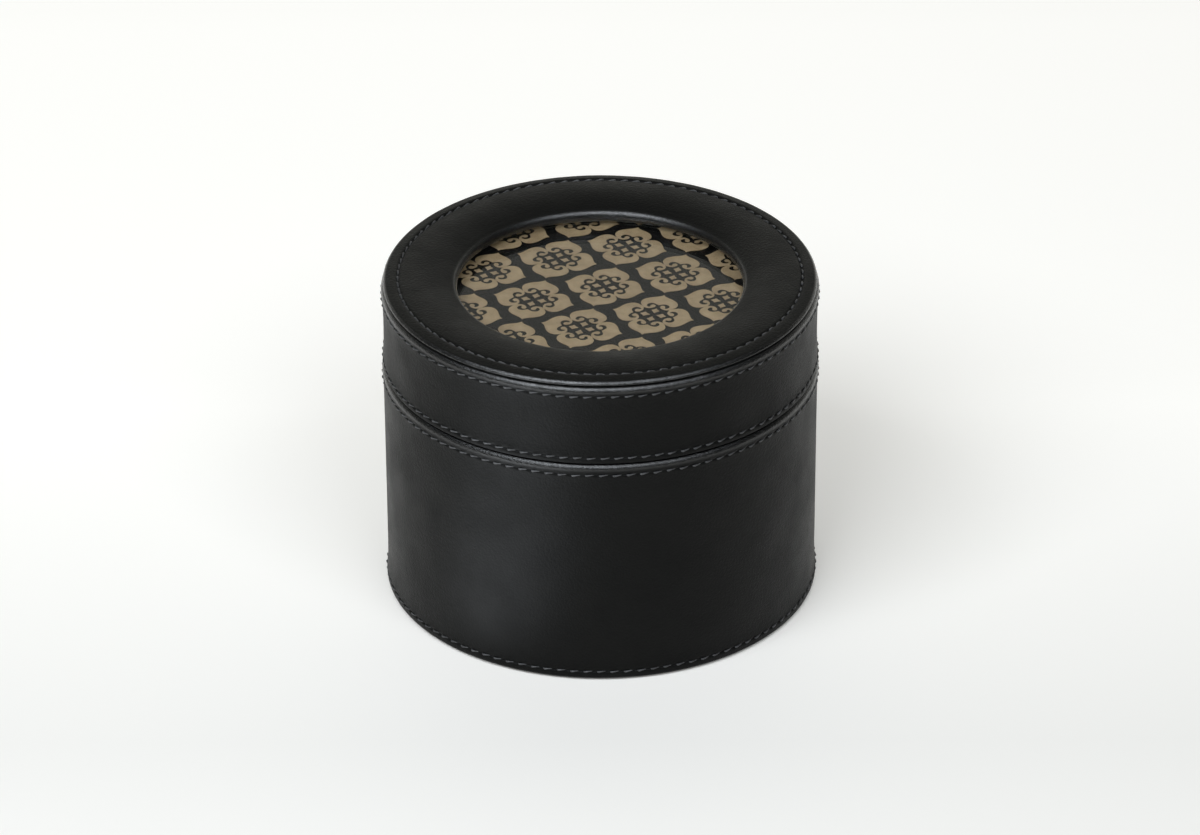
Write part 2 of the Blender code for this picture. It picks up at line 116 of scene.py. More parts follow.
def fit_piece(name, shape, finish, body, stands_for=(), crease=35.0):
    """Make a smooth piece of a worked shape and let it ride on its part of the box."""
    piece = place_shape(name, shape, finish)
    piece.data.shade_smooth()
    piece.data.set_sharp_from_angle(angle=math.radians(crease))
    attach(piece, body)
    if stands_for:
        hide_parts(*stands_for)
    return piece


def set_sockets(node, **sockets):
    """Set sockets of a shader node, a space in a socket's name written as an underscore."""
    for socket, value in sockets.items():
        node.inputs[socket.replace("_", " ")].default_value = value
    return node


def lay_pattern(tree, place, kind="ShaderNodeTexNoise", **sockets):
    """Lay a pattern on a piece; its scale is patches to the metre."""
    pattern = set_sockets(tree.nodes.new(kind), **sockets)
    tree.links.new(place, pattern.inputs["Vector"])
    return pattern


def tone_ramp(tree, share, low, high, dark, light):
    """Colour that goes from the dark tone at the low share to the light one at the high share."""
    ramp = tree.nodes.new("ShaderNodeValToRGB")
    for stop, position, tone in zip(ramp.color_ramp.elements, (low, high), (dark, light)):
        stop.position = position
        stop.color = (*tone, 1.0)
    tree.links.new(share, ramp.inputs["Fac"])
    return ramp.outputs["Color"]


def bare_finish(name, **sockets):
    """Start a material; returns it with its node tree and its shader."""
    finish = bpy.data.materials.new(name)
    finish.use_nodes = True
    tree = finish.node_tree
    return finish, tree, set_sockets(tree.nodes["Principled BSDF"], **sockets)


def start_finish(name, roughness, specular, patches, dark, light, detail=3.0):
    """Start a material whose colour wanders in patches; returns all that its relief is built on."""
    finish, tree, shader = bare_finish(name, Roughness=roughness, Specular_IOR_Level=specular)
    place = tree.nodes.new("ShaderNodeTexCoord").outputs["Object"]
    cloud = lay_pattern(tree, place, Scale=patches, Detail=detail, Roughness=0.6)
    tone = tone_ramp(tree, cloud.outputs["Fac"], 0.35, 0.65, dark, light)
    tree.links.new(tone, shader.inputs["Base Color"])
    return finish, tree, shader, place, tone


def relief(tree, shader, height, depth, under=None):
    """Give a shader a bump of a depth in millimetres, laid over another bump if one is given."""
    bump = set_sockets(tree.nodes.new("ShaderNodeBump"), Strength=1.0, Distance=depth * MM)
    tree.links.new(height, bump.inputs["Height"])
    if under is not None:
        tree.links.new(under, bump.inputs["Normal"])
    tree.links.new(bump.outputs["Normal"], shader.inputs["Normal"])
    return bump.outputs["Normal"]


def cloth(name, dark, light, nap, sheen, roughness=0.95, patches=60.0):
    """Napped cloth: tone that wanders with the lie of the nap, a fine fibre relief and a soft sheen."""
    finish, tree, shader, place, _ = start_finish(name, roughness, 0.2, patches, dark, light)
    set_sockets(shader, Sheen_Weight=sheen, Sheen_Roughness=0.45)
    lie = lay_pattern(tree, place, Scale=patches * 4.0, Detail=2.0)
    fibre = lay_pattern(tree, place, Scale=FIBRES, Detail=4.0, Roughness=0.7)
    nap_lie = relief(tree, shader, lie.outputs["Fac"], 3.0 * nap)
    relief(tree, shader, fibre.outputs["Fac"], nap, nap_lie)
    return finish


felt = cloth("pressed_felt", (0.014, 0.014, 0.014), (0.026, 0.026, 0.026), nap=0.10, sheen=0.25)
foot = [(0.0, FOOT_T), (FOOT_R, FOOT_T)]
foot += arc(FOOT_R - FOOT_ROUND, FOOT_ROUND, FOOT_ROUND, 0.0, -90.0, 3) + [(0.0, 0.0)]
fit_piece("foot_felt", turn(foot), felt, "base", ["base_foot_panel"])

# Hidden boards: rolled and flat grey board that stiffens the floor, the walls, the lid's top and the ring.
# They are cut from recycled board, and only their raw grey edges would show before the leather is glued on.
FLAT_BOARDS = ("base_floor_board", "lid_top_board", "ring_board")
ROLLED_BOARDS = ("base_wall_board", "lid_wall_board", "glass_spacer_ring")
BOARD_FLECK = (0.14, 0.12, 0.10, 1.0)


def raw_board():
    """Recycled board: grey-brown tone, darker flecks, and a faint relief of pressed fibres."""
    finish, tree, shader, place, tone = start_finish(
        "raw_greyboard", 0.9, 0.3, 90.0, (0.28, 0.26, 0.22), (0.40, 0.38, 0.34)
    )
    flecks = lay_pattern(tree, place, Scale=900.0, Detail=2.0)
    marks = tone_ramp(tree, flecks.outputs["Fac"], 0.30, 0.36, (0.0, 0.0, 0.0), (1.0, 1.0, 1.0))
    mix = tree.nodes.new("ShaderNodeMix")
    mix.data_type = "RGBA"
    mix.inputs["A"].default_value = BOARD_FLECK
    tree.links.new(marks, mix.inputs["Factor"])
    tree.links.new(tone, mix.inputs["B"])
    tree.links.new(mix.outputs["Result"], shader.inputs["Base Color"])
    relief(tree, shader, flecks.outputs["Fac"], 0.06)
    return finish


board_finish = raw_board()
for node_name in FLAT_BOARDS + ROLLED_BOARDS:
    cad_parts[node_name].data.materials[0] = board_finish

# Base side band: one strip of black leather over thin foam, wrapped round the wall board.
# Its padded hems are rolled over the rim and under the floor, and sewn down along a shallow groove.
BASE_BOTTOM = 0.6
BASE_TOP = 90.35
BASE_SEAMS = (3.2, 4.1)
BASE_HEMS = (79.93, 80.0)
BASE_WAISTS = (79.35, 79.52)
BASE_PHASES = (0.0, 1.4)
BASE_INNERS = (75.3, 75.6)
BASE_ROLLS = (1.3, 2.2)
ROLL_STEPS = 9
HEM_FALL = 0.08
HEM_EASE = 3.0
HEM_REACH = 14.0
SEAM_DEPTH = 0.20
SEAM_HALF_W = 0.32
SEAM_EDGE = 0.95
SEAM_STEPS = (-SEAM_EDGE, -0.6, -0.4, -0.2, 0.0, 0.2, 0.4, 0.6, SEAM_EDGE, 1.5, 2.3, 3.4, 4.8, 6.8, 10.0)
BAND_T = 0.85
BAND_ROW = 4.5
BAND_SKIN_R = 78.75
TURN_IN_T = 0.9
TURN_IN_ROUND = 0.3
STITCHES = 102
LEATHER_ROUNDS = (8, 6, 17)
WAVER = 0.05
SLOW_WAVE = (40.0, 40.0, 55.0)
QUICK_WAVE = (160.0, 160.0, 120.0)
WAX_END = 3.0
WAX_FULL = 1.4
HOLE_HALF_W = 0.55
HOLE_DEPTH = 0.3
PEBBLE_DEPTH = 0.09
PORE_DEPTH = 0.11
GRAIN_SHIFT = 0.0006


def arc_inset(depth, radius):
    """How far a rounded edge of that radius lies back, at a depth below its top."""
    return radius - math.sqrt(radius ** 2 - (radius - min(depth, radius)) ** 2)


def bell(distance, half_width):
    """Bell curve, 1 in the middle."""
    return math.exp(-((distance / half_width) ** 2))


def hem_inset(depth, seam, proud, roll_r):
    """How far a hem lies inside its fullest radius, at a depth below its edge."""
    inset = arc_inset(depth, roll_r) + SEAM_DEPTH * bell(depth - seam, SEAM_HALF_W)
    if depth <= seam:
        return inset + HEM_FALL * (depth / seam) ** 2
    return inset + HEM_FALL + (proud - HEM_FALL) * (1.0 - math.exp(-(depth - seam) / HEM_EASE))


def hem_line(edge, seam, full_r, waist_r, direction, roll_r):
    """Outer line of a hem from its edge to the band, direction -1 below a top edge, 1 above a bottom one."""
    angles = [math.radians(90.0 * step / ROLL_STEPS) for step in range(1, ROLL_STEPS)]
    depths = [roll_r * (1.0 - math.cos(angle)) for angle in angles]
    depths += [seam + shift for shift in SEAM_STEPS]
    if seam > roll_r + 1.8:
        depths += [roll_r + (seam - SEAM_EDGE - roll_r) * step / 3 for step in (0, 1, 2)]
    depths = sorted(depths + [HEM_REACH])
    radii = [full_r - hem_inset(depth, seam, full_r - waist_r, roll_r) for depth in depths]
    return [(radius, edge + direction * depth) for radius, depth in zip(radii, depths)]


def band_line(bottom, top, seams, hems, waists, inners, rolls):
    """Closed half section of a leather band with a hem along both edges; pairs run from bottom to top."""
    upper = hem_line(top, seams[1], hems[1], waists[1], -1.0, rolls[1])
    lower = hem_line(bottom, seams[0], hems[0], waists[0], 1.0, rolls[0])
    start_r, start_z = upper[-1]
    end_r, end_z = lower[-1]
    rows = max(int((start_z - end_z) / BAND_ROW), 1)
    line = list(upper)
    for row in range(1, rows):
        line.append((start_r + (end_r - start_r) * row / rows, start_z + (end_z - start_z) * row / rows))
    line += reversed(lower)
    back_r = min(waists) - BAND_T
    line += [(hems[0] - rolls[0], bottom), (inners[0], bottom)]
    line += [(inners[0], bottom + TURN_IN_T), (back_r, bottom + TURN_IN_T)]
    line += [(back_r, top - BAND_T), (inners[1], top - BAND_T), (inners[1], top - TURN_IN_ROUND)]
    return line + [(inners[1] + TURN_IN_ROUND, top), (hems[1] - rolls[1], top)]


def polar(place):
    """Distance of a place from the centre line, and its direction."""
    return math.hypot(place.x, place.y), math.atan2(place.y, place.x)


def ease(value, first, last):
    """Rise smoothly from 0 at the first value to 1 at the last."""
    share = min(max((value - first) / (last - first), 0.0), 1.0)
    return share * share * (3.0 - 2.0 * share)


def wave(place, scale, seed):
    """Smooth unevenness at a place; scale is waves to the metre along each axis."""
    return noise.noise(Vector((place.x * scale[0], place.y * scale[1], place.z * scale[2] + seed)))


def hole_share(angle, phase, sharpness):
    """1 at each needle hole of a seam and 0 midway between two."""
    return (0.5 + 0.5 * math.cos(STITCHES * angle - phase)) ** sharpness


def work_leather(shape, top, wax, seams, seed):
    """Burnish the top roll, press the needle holes into the grooves and let the leather waver a little."""
    burnish = shape.verts.layers.float.new("burnish")
    for vert in shape.verts:
        radius, angle = polar(vert.co)
        height = vert.co.z / MM
        if radius / MM < BAND_SKIN_R:
            continue
        vert[burnish] = wax * ease(height, top - WAX_END, top - WAX_FULL)
        push = WAVER * wave(vert.co, SLOW_WAVE, seed)
        push += 0.5 * WAVER * wave(vert.co, QUICK_WAVE, seed)
        for seam, phase in seams:
            push -= HOLE_DEPTH * bell(height - seam, HOLE_HALF_W) * hole_share(angle, phase, 3)
        scale = 1.0 + push * MM / radius
        vert.co.x *= scale
        vert.co.y *= scale


def calculate(tree, operation, first, second):
    """Work out a value from two others, each a socket or a number."""
    node = tree.nodes.new("ShaderNodeMath")
    node.operation = operation
    for socket, value in zip(node.inputs, (first, second)):
        if isinstance(value, float):
            socket.default_value = value
        else:
            tree.links.new(value, socket)
    return node.outputs["Value"]


def map_range(tree, value, first, last, low, high):
    """Turn one range of values into another, held at both ends."""
    node = tree.nodes.new("ShaderNodeMapRange")
    set_sockets(node, From_Min=first, From_Max=last, To_Min=low, To_Max=high)
    tree.links.new(value, node.inputs["Value"])
    return node.outputs["Result"]


def black_leather():
    """Black leather: pebbled grain, finer pores, a wax on the burnished hems and rolls."""
    finish, tree, shader, place, _ = start_finish(
        "black_grain_leather", 0.44, 0.12, 45.0, (0.0018, 0.0019, 0.0017), (0.0030, 0.0031, 0.0027)
    )
    wander = lay_pattern(tree, place, Scale=700.0, Detail=2.0)
    shift = tree.nodes.new("ShaderNodeVectorMath")
    shift.operation = "MULTIPLY_ADD"
    shift.inputs[1].default_value = (GRAIN_SHIFT, GRAIN_SHIFT, GRAIN_SHIFT)
    tree.links.new(wander.outputs["Color"], shift.inputs[0])
    tree.links.new(place, shift.inputs[2])
    shifted = shift.outputs["Vector"]
    pebble = lay_pattern(tree, shifted, "ShaderNodeTexVoronoi", Scale=1150.0)
    pebble.feature = "SMOOTH_F1"
    pebble.inputs["Smoothness"].default_value = 0.6
    pores = lay_pattern(tree, shifted, Scale=3200.0, Detail=3.0)
    swell = relief(tree, shader, calculate(tree, "SUBTRACT", 1.0, pebble.outputs["Distance"]), PEBBLE_DEPTH)
    grained = relief(tree, shader, pores.outputs["Fac"], PORE_DEPTH, swell)
    tree.links.new(grained, shader.inputs["Coat Normal"])
    wax = tree.nodes.new("ShaderNodeAttribute")
    wax.attribute_name = "burnish"
    tree.links.new(wax.outputs["Fac"], shader.inputs["Coat Weight"])
    set_sockets(shader, Coat_Roughness=0.26, Coat_IOR=1.6)
    handled = lay_pattern(tree, place, Scale=70.0, Detail=2.0)
    wear = map_range(tree, handled.outputs["Fac"], 0.3, 0.7, 0.40, 0.50)
    tree.links.new(wear, shader.inputs["Roughness"])
    return finish


def lay_band(part, line, edges, seams, phases, wax, seed):
    """Make a leather band of its half section; returns the heights and hole phases of its two seams."""
    sewn = ((edges[0] + seams[0], phases[0]), (edges[1] - seams[1], phases[1]))
    band = turn(line, LEATHER_ROUNDS)
    work_leather(band, edges[1], wax, sewn, seed)
    fit_piece(part + "_leather", band, leather, part, [part + "_side_cover"], 60.0)
    return sewn


leather = black_leather()
base_line = band_line(BASE_BOTTOM, BASE_TOP, BASE_SEAMS, BASE_HEMS, BASE_WAISTS, BASE_INNERS, BASE_ROLLS)
base_seams = lay_band("base", base_line, (BASE_BOTTOM, BASE_TOP), BASE_SEAMS, BASE_PHASES, wax=0.8, seed=3.0)

# Base stitching: two full turns of a thick waxed black thread, one through each hem of the base band.
# Every stitch lies on a slant and dips at its ends into the needle holes that it shares with the next ones.
STITCH_L = 3.5
STITCH_RISE = 0.28
STITCH_RINGS = 8
THREAD_R = 0.31
THREAD_FLAT = (0.82, 0.78)
THREAD_TWIST = 150.0
STITCH_SLIPS = (0.1, 0.12, 0.06)


def black_thread():
    """Waxed polyester thread: charcoal, with the fine furrows of its fibres."""
    finish, tree, shader, place, _ = start_finish(
        "waxed_thread", 0.42, 0.55, 700.0, (0.024, 0.024, 0.025), (0.056, 0.057, 0.059)
    )
    relief(tree, shader, lay_pattern(tree, place, Scale=4500.0, Detail=2.0).outputs["Fac"], 0.05)
    return finish


def skin_over(shape, rings):
    """Bridge each ring of points to the next one and turn the faces outwards."""
    loops = [list({edge for vert in ring for edge in vert.link_edges}) for ring in rings]
    for first, second in zip(loops, loops[1:]):
        bmesh.ops.bridge_loops(shape, edges=first + second)
    face_out(shape)


def swing(shape, angle):
    """Turn a whole shape about the box's centre line."""
    bmesh.ops.rotate(shape, verts=shape.verts[:], cent=ORIGIN, matrix=Matrix.Rotation(angle, 3, "Z"))


def sew(name, radius, height, flat, hole_phase, body, seed):
    """Sew one full turn of stitches; flat is true where the seam lies on top and false on a wall."""
    shape = bmesh.new()
    out = UP if flat else Vector((1.0, 0.0, 0.0))
    across = Vector((-1.0, 0.0, 0.0)) if flat else UP
    along = Vector((0.0, 1.0, 0.0))
    rings = []
    for step in range(STITCH_RINGS + 1):
        share = -1.0 + 2.0 * step / STITCH_RINGS
        middle = Vector((radius, 0.0, height)) + along * (0.5 * STITCH_L * share)
        lift = THREAD_R * (0.6 - 0.95 * share - 1.5 * share ** 6)
        middle += across * (0.5 * STITCH_RISE * share) + out * lift
        plump = THREAD_R * (1.0 - 0.4 * share - 0.3 * share ** 6)
        turned = Matrix((out * THREAD_FLAT[0], across, along)).transposed()
        twist = Matrix.Rotation(math.radians(THREAD_TWIST * share), 3, "Z")
        ends = step in (0, STITCH_RINGS)
        ring = bmesh.ops.create_circle(shape, cap_ends=ends, segments=8, radius=1.0)["verts"]
        for vert in ring:
            vert.co.y *= THREAD_FLAT[1]
            vert.co = (middle + turned @ (twist @ vert.co) * plump) * MM
        rings.append(ring)
    skin_over(shape, rings)
    phase = math.pi + hole_phase
    swing(shape, phase / STITCHES)
    repeat_round(shape, FULL_TURN / STITCHES, STITCHES)
    hand = random.Random(seed)
    lie = [[hand.uniform(-most, most) for most in STITCH_SLIPS] for _ in range(STITCHES)]
    for vert in shape.verts:
        angle = polar(vert.co)[1] - phase / STITCHES
        slip, rise, lift = lie[round(angle * STITCHES / FULL_TURN) % STITCHES]
        near = Vector((vert.co.x, vert.co.y, 0.0)).normalized()
        side = Vector((-near.y, near.x, 0.0))
        outward = UP if flat else near
        upward = -near if flat else UP
        vert.co += (side * slip + upward * rise + outward * lift) * MM
    fit_piece(name, shape, thread, body, (), 50.0)


def sew_hems(part, seams, hems, seed):
    """Sew a full turn of stitches through the bottom and the top hem of a band."""
    for number, (edge, (height, hole_phase), hem) in enumerate(zip(("bottom", "top"), seams, hems)):
        seam_r = hem - HEM_FALL - SEAM_DEPTH
        sew(part + "_" + edge + "_stitches", seam_r, height, False, hole_phase, part, seed + number)


thread = black_thread()
sew_hems("base", base_seams, BASE_HEMS, 11)

# Neck and tray rest: two rolled boards covered in dark suede cloth, standing inside the base.
# The neck rises above the rim to centre the lid, and the lower ring inside it carries the tray.
NECK_OUT_R = 75.3
NECK_IN_R = 73.0
NECK_TOP = 99.5
NECK_ROUND = 0.9
REST_OUT_R = 72.7
REST_IN_R = 70.4
REST_TOP = 56.0
REST_ROUND = 0.5
STAND_Z = 4.5
WALL_ROW = 6.0


def wall_line(outer, inner, bottom, top, rounding):
    """Closed half section of a covered wall with a rounded top edge."""
    line = arc(inner + rounding, top - rounding, rounding, 180.0, 90.0, 6)
    line += arc(outer - rounding, top - rounding, rounding, 90.0, 0.0, 6)
    rows = int((top - bottom) / WALL_ROW)
    line += [(outer, top - rounding + (bottom - top + rounding) * row / rows) for row in range(1, rows + 1)]
    line += [(inner, bottom + (top - rounding - bottom) * row / rows) for row in range(rows)]
    return line


def cover_in_suede(name, shape, body, node):
    """Cover a piece of board in the suede cloth."""
    return fit_piece(name, shape, suede, body, [node])


suede = cloth("charcoal_suede", (0.016, 0.015, 0.014), (0.034, 0.031, 0.029), nap=0.08, sheen=0.12)
neck = turn(wall_line(NECK_OUT_R, NECK_IN_R, STAND_Z, NECK_TOP, NECK_ROUND))
cover_in_suede("neck_suede", neck, "base", "neck_collar")
rest = turn(wall_line(REST_OUT_R, REST_IN_R, STAND_Z, REST_TOP, REST_ROUND))
cover_in_suede("tray_rest_suede", rest, "base", "tray_rest_ring")

# Base floor pad: a round cushion of velvet drawn over a foam disc on card, pushed down between the walls.
# The velvet is pulled under at the edge, where it gathers in many small soft folds.
PAD_R = 70.1
PAD_BOTTOM = 4.5
PAD_TOP = 10.5
PAD_EDGE_R = 2.6
PAD_CROWN = 0.5
PAD_STEPS = 12
PAD_FOLDS = 46
PAD_SLACK = 0.5
PAD_VOXEL = 2.0
GATHER_W = 9.0
GATHER_DIP = 0.45
GATHER_PULL = 0.25
PAD_WAVER = 0.18
FILL_STEPS = 20
FILL_PRESSURE = 8.0


def soft_disc(outer, top):
    """Turn the crowned round form of the cushion as it is before it is filled."""
    line = [(0.0, top)]
    for step in range(1, PAD_STEPS + 1):
        share = step / PAD_STEPS
        line.append(((outer - PAD_EDGE_R) * share, top - PAD_CROWN * share ** 3))
    line += arc(outer - PAD_EDGE_R, top - PAD_CROWN - PAD_EDGE_R, PAD_EDGE_R, 80.0, 0.0, 6)
    line += [(outer, PAD_BOTTOM + 1.4), (outer - 0.5, PAD_BOTTOM + 0.4), (outer - 1.4, PAD_BOTTOM)]
    line += [(outer * share, PAD_BOTTOM) for share in (0.8, 0.5, 0.2)] + [(0.0, PAD_BOTTOM)]
    return turn(line, (8, 2, PAD_FOLDS // 2))


def fill_cushion(piece, voxel, reach, low, high):
    """Blow a soft piece up as sewn cloth; no point moves further than reach or leaves the box low to high."""
    even = piece.modifiers.new("even_cloth", "REMESH")
    even.mode = "VOXEL"
    even.voxel_size = voxel * MM
    even.use_smooth_shade = True
    view = bpy.context.evaluated_depsgraph_get()
    skin = bpy.data.meshes.new_from_object(piece.evaluated_get(view))
    piece.modifiers.clear()
    piece.data = skin
    sewn = piece.modifiers.new("sewn_cloth", "CLOTH")
    sewn.settings.use_pressure = True
    sewn.settings.uniform_pressure_force = FILL_PRESSURE
    sewn.settings.effector_weights.gravity = 0.0
    for step in range(1, FILL_STEPS + 1):
        bpy.context.scene.frame_set(step)
    view = bpy.context.evaluated_depsgraph_get()
    blown = [vert.co.copy() for vert in piece.evaluated_get(view).data.vertices]
    piece.modifiers.clear()
    bpy.context.scene.frame_set(1)
    for vert, last in zip(skin.vertices, blown):
        push = last - vert.co
        vert.co += push * min(1.0, reach * MM / max(push.length, MM * MM))
        for axis in range(3):
            vert.co[axis] = min(max(vert.co[axis], low[axis] * MM), high[axis] * MM)
    finer = piece.modifiers.new("finer_cloth", "SUBSURF")
    finer.levels = 1
    finer.render_levels = 1


def gather_edge(skin):
    """Draw the cushion's edge in between small gathers, and keep it clear of the walls."""
    for vert in skin.vertices:
        radius, angle = polar(vert.co)
        radius /= MM
        if vert.co.z / MM < PAD_BOTTOM + 0.2 or radius < 1.0:
            continue
        stray = 5.0 * noise.noise(Vector((math.cos(angle) * 2.0, math.sin(angle) * 2.0, 4.0)))
        gather = 0.5 + 0.5 * math.cos(PAD_FOLDS * angle + stray)
        edge = max((radius - (PAD_R - GATHER_W)) / GATHER_W, 0.0) ** 2
        vert.co.z -= GATHER_DIP * MM * gather * edge
        vert.co.z += PAD_WAVER * MM * (noise.noise(vert.co * 55.0) - 0.5) * (1.0 - edge)
        pull = min(radius, PAD_R) / radius - GATHER_PULL * gather * edge / radius
        vert.co.x *= pull
        vert.co.y *= pull


velvet = cloth("charcoal_velvet", (0.012, 0.011, 0.010), (0.040, 0.036, 0.033), 0.12, 0.35, 0.9, 45.0)
slack_pad = soft_disc(PAD_R - PAD_SLACK, PAD_TOP - PAD_SLACK)
floor_pad = fit_piece("floor_cushion", slack_pad, velvet, "base", ["base_floor_pad"])
fill_cushion(floor_pad, PAD_VOXEL, PAD_SLACK, (-PAD_R, -PAD_R, PAD_BOTTOM), (PAD_R, PAD_R, PAD_TOP))
gather_edge(floor_pad.data)

# Dividers: two suede-covered boards that cross by half laps and stand on the floor pad.
# Their edges are rounded by the cloth that is folded over the board.
DIVIDER_L = 139.3
DIVIDER_T = 2.4
DIVIDER_BOTTOM = 10.8
DIVIDER_TOP = 40.8
LAP_W = 3.0
LAP_GAP = 0.3
EDGE_ROUND = 0.7
SHARP_ANGLE = 30.0


def points_of(items):
    """The points among the items that an operator gives back."""
    return [item for item in items if isinstance(item, bmesh.types.BMVert)]


def move(shape, points, x, y, z):
    """Move points of a shape by millimetres."""
    bmesh.ops.translate(shape, verts=points, vec=(x * MM, y * MM, z * MM))


def board(length, thickness, bottom, top, middle=(0.0, 0.0), lap=None):
    """Stand a covered board along X; lap, "top" or "bottom", notches it halfway for a crossing board."""
    shape = bmesh.new()
    left, right = -0.5 * length, 0.5 * length
    outline = [(left, bottom), (right, bottom), (right, top), (left, top)]
    half = 0.5 * (bottom + top)
    near, far = -0.5 * LAP_W, 0.5 * LAP_W
    if lap == "top":
        outline[3:3] = [(far, top), (far, half - LAP_GAP), (near, half - LAP_GAP), (near, top)]
    if lap == "bottom":
        outline[1:1] = [(near, bottom), (near, half + LAP_GAP), (far, half + LAP_GAP), (far, bottom)]
    verts = [shape.verts.new((x * MM, -0.5 * thickness * MM, z * MM)) for x, z in outline]
    face = bmesh.ops.contextual_create(shape, geom=verts)["faces"][0]
    grown = bmesh.ops.extrude_face_region(shape, geom=[face])["geom"]
    move(shape, points_of(grown), 0.0, thickness, 0.0)
    face_out(shape)
    bmesh.ops.bevel(
        shape,
        geom=[edge for edge in shape.edges if edge.calc_face_angle(0.0) > math.radians(SHARP_ANGLE)],
        offset=EDGE_ROUND * MM,
        segments=3,
        profile=0.5,
        affect="EDGES",
        material=-1,
        clamp_overlap=True,
    )
    move(shape, shape.verts[:], *middle, 0.0)
    return shape


long_board = board(DIVIDER_L, DIVIDER_T, DIVIDER_BOTTOM, DIVIDER_TOP, lap="top")
cover_in_suede("divider_long_suede", long_board, "base", "base_divider_long")
cross_board = board(DIVIDER_L, DIVIDER_T, DIVIDER_BOTTOM, DIVIDER_TOP, lap="bottom")
swing(cross_board, 0.25 * FULL_TURN)
cover_in_suede("divider_cross_suede", cross_board, "base", "base_divider_cross")

# Lift-out tray: a suede-covered floor and wall, with covered partitions for rings and small things.
# It rests on the ring inside the base and is drawn out by its ribbon.
TRAY_OUT_R = 72.4
TRAY_IN_R = 70.5
TRAY_BOTTOM = 56.3
TRAY_FLOOR_T = 2.4
TRAY_FLOOR_ROUND = 0.5
TRAY_IN_Z = 59.0
TRAY_TOP = 92.0
TRAY_TOP_ROUND = 0.8
TRAY_FLATS = 48
PARTITION_T = 2.0
PARTITION_TOP = 86.0
SIDE_PARTITION_TOP = 81.0
SIDE_PARTITION_Y = 23.2
CLEAR = 0.3


def tray_chord(offset, gap):
    """Half the length that the tray leaves at an offset from its middle."""
    inner = TRAY_IN_R * math.cos(math.pi / TRAY_FLATS) - gap
    return math.sqrt(inner ** 2 - offset ** 2)


floor_edge_r = TRAY_OUT_R - TRAY_FLOOR_ROUND
tray_floor = [(0.0, TRAY_BOTTOM + TRAY_FLOOR_T)]
tray_floor += arc(floor_edge_r, TRAY_BOTTOM + TRAY_FLOOR_T - TRAY_FLOOR_ROUND, TRAY_FLOOR_ROUND, 90.0, 0.0, 3)
tray_floor += arc(floor_edge_r, TRAY_BOTTOM + TRAY_FLOOR_ROUND, TRAY_FLOOR_ROUND, 0.0, -90.0, 3)
tray_floor.append((0.0, TRAY_BOTTOM))
cover_in_suede("tray_floor_suede", turn(tray_floor), "tray", "tray_floor")
tray_wall = turn(wall_line(TRAY_OUT_R, TRAY_IN_R, TRAY_IN_Z, TRAY_TOP, TRAY_TOP_ROUND))
cover_in_suede("tray_wall_suede", tray_wall, "tray", "tray_wall")
main_half = tray_chord(0.5 * PARTITION_T, CLEAR)
main_board = board(2.0 * main_half, PARTITION_T, TRAY_IN_Z, PARTITION_TOP)
swing(main_board, 0.25 * FULL_TURN)
main_partition = cover_in_suede("tray_main_partition_suede", main_board, "tray", "tray_partition_main")
side_near = 0.5 * PARTITION_T + CLEAR
side_far = tray_chord(SIDE_PARTITION_Y + 0.5 * PARTITION_T, CLEAR)
for side, sign in (("front", -1.0), ("back", 1.0)):
    side_middle = (0.5 * (side_near + side_far), sign * SIDE_PARTITION_Y)
    side_board = board(side_far - side_near, PARTITION_T, TRAY_IN_Z, SIDE_PARTITION_TOP, side_middle)
    cover_in_suede("tray_" + side + "_partition_suede", side_board, "tray", "tray_partition_" + side)

# Ring rolls: six bolsters of velvet over soft foam, packed side by side in the left half of the tray.
# Rings are pushed down into the slits between them, and each roll's ends are tucked in like a parcel.
ROLL_COUNT = 6
ROLL_START = 2.2
ROLL_GAP = 0.5
ROLL_SHORTEST = 36.0
ROLL_H = 23.0
ROLL_END_GAP = 0.8
ROLL_SLACK = 0.8
ROLL_VOXEL = 1.3
ROLL_POINTS = 28
ROLL_TUCKS = ((0.0, 0.62), (0.25, 0.80), (0.9, 0.92), (2.2, 0.975), (4.5, 0.995))
ROLL_TUCKED = 7.0
ROLL_STATIONS = 8
ROLL_SIDES = 0.72
ROLL_ROUND_TOP = 0.95
ROLL_SQUARE_FOOT = 0.55
ROLL_WAVER = 0.22


def ring_roll(width, length, middle):
    """Skin a soft bolster along Y over rounded loops that draw in at both ends."""
    shape = bmesh.new()
    half = 0.5 * length
    stations = [(place - half, size) for place, size in ROLL_TUCKS]
    for step in range(ROLL_STATIONS + 1):
        stations.append(((ROLL_TUCKED - half) * (1.0 - step / ROLL_STATIONS), 1.0))
    stations += [(-place, size) for place, size in reversed(stations[:-1])]
    rings = []
    for place, size in stations:
        ends = abs(place) == half
        ring = bmesh.ops.create_circle(shape, cap_ends=ends, segments=ROLL_POINTS, radius=1.0)["verts"]
        for vert in ring:
            across, up = vert.co.x, vert.co.y
            across = math.copysign(abs(across) ** ROLL_SIDES, across)
            up = math.copysign(abs(up) ** (ROLL_ROUND_TOP if up > 0.0 else ROLL_SQUARE_FOOT), up)
            lean = 1.0 if up > 0.0 else 1.0 - 0.10 * up * up
            vert.co.x = 0.5 * width * across * lean * size + middle
            vert.co.z = TRAY_IN_Z + 0.5 * ROLL_H + 0.5 * ROLL_H * up * (0.5 + 0.5 * size)
            vert.co.z = max(vert.co.z, TRAY_IN_Z)
            vert.co.y = place
            swell = ROLL_WAVER * noise.noise(vert.co * 0.11)
            if vert.co.z > TRAY_IN_Z + 2.0:
                vert.co.z = min(vert.co.z + swell - 0.1, TRAY_IN_Z + ROLL_H)
            vert.co *= MM
        rings.append(ring)
    skin_over(shape, rings)
    return shape


